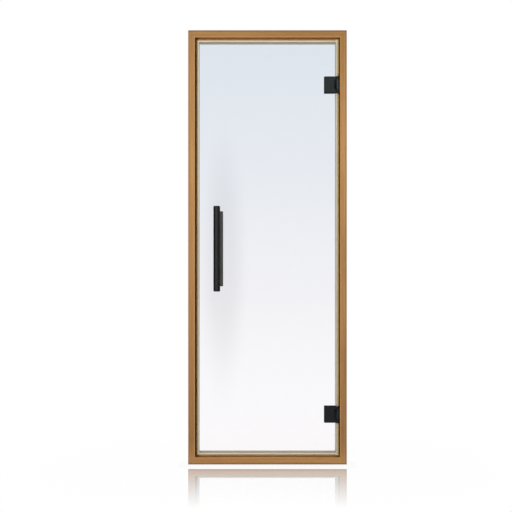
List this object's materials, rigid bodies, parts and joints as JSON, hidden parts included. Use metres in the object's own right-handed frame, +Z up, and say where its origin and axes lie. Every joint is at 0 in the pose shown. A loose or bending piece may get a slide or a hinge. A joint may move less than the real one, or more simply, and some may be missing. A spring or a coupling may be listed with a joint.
{
  "type": "sauna door with frame",
  "caption": "Framed sauna door: clear glass leaf on clamp hinges with a vertical bar handle, swinging outward in a rebated, mitred wood frame.",
  "frame": {"origin": "middle of the sill's underside", "axes": "+X to the right seen from outside, +Y inward through the wall, +Z up"},
  "size_m": [0.69, 0.14, 1.89],
  "materials": {
    "frame_wood": "satin heat-treated wood",
    "grip_wood": "satin heat-treated wood",
    "seal_silicone": "matte cream silicone",
    "black_metal": "satin black powder coat",
    "black_rubber": "matte",
    "steel": "brushed",
    "nylon": "matte",
    "clear_glass": "polished toughened glass"
  },
  "bodies": {
    "door_frame": {"sill": "frame_wood", "head": "frame_wood", "jamb_hinge_side": "frame_wood", "jamb_latch_side": "frame_wood", "seal_bottom": "seal_silicone", "seal_top": "seal_silicone", "seal_hinge_side": "seal_silicone", "seal_latch_side": "seal_silicone", "hinge_bracket_lower": "black_metal", "hinge_bracket_upper": "black_metal", "bracket_screws_lower": "steel", "bracket_screws_upper": "steel", "hinge_pin_lower": "steel", "hinge_pin_upper": "steel"},
    "door_leaf": {"glass_pane": "clear_glass", "outer_clamp_lower": "black_metal", "outer_clamp_upper": "black_metal", "inner_clamp_lower": "black_metal", "inner_clamp_upper": "black_metal", "outer_pad_lower": "black_rubber", "outer_pad_upper": "black_rubber", "inner_pad_lower": "black_rubber", "inner_pad_upper": "black_rubber", "clamp_screws_lower": "steel", "clamp_screws_upper": "steel", "handle_bar": "black_metal", "handle_rail": "black_metal", "handle_rail_gasket": "black_rubber", "handle_post_lower": "black_metal", "handle_post_upper": "black_metal", "handle_studs": "steel", "handle_bushes": "nylon", "inner_washers": "black_rubber", "inner_posts": "black_metal", "inner_grip": "grip_wood"}
  },
  "joints": [
    {"name": "leaf_swing", "type": "hinge", "parent": "door_frame", "child": "door_leaf", "pos_m": [0.3062, -0.037, 0.9355], "axis": [0, 0, 1], "range_deg": [0, 130]}
  ]
}
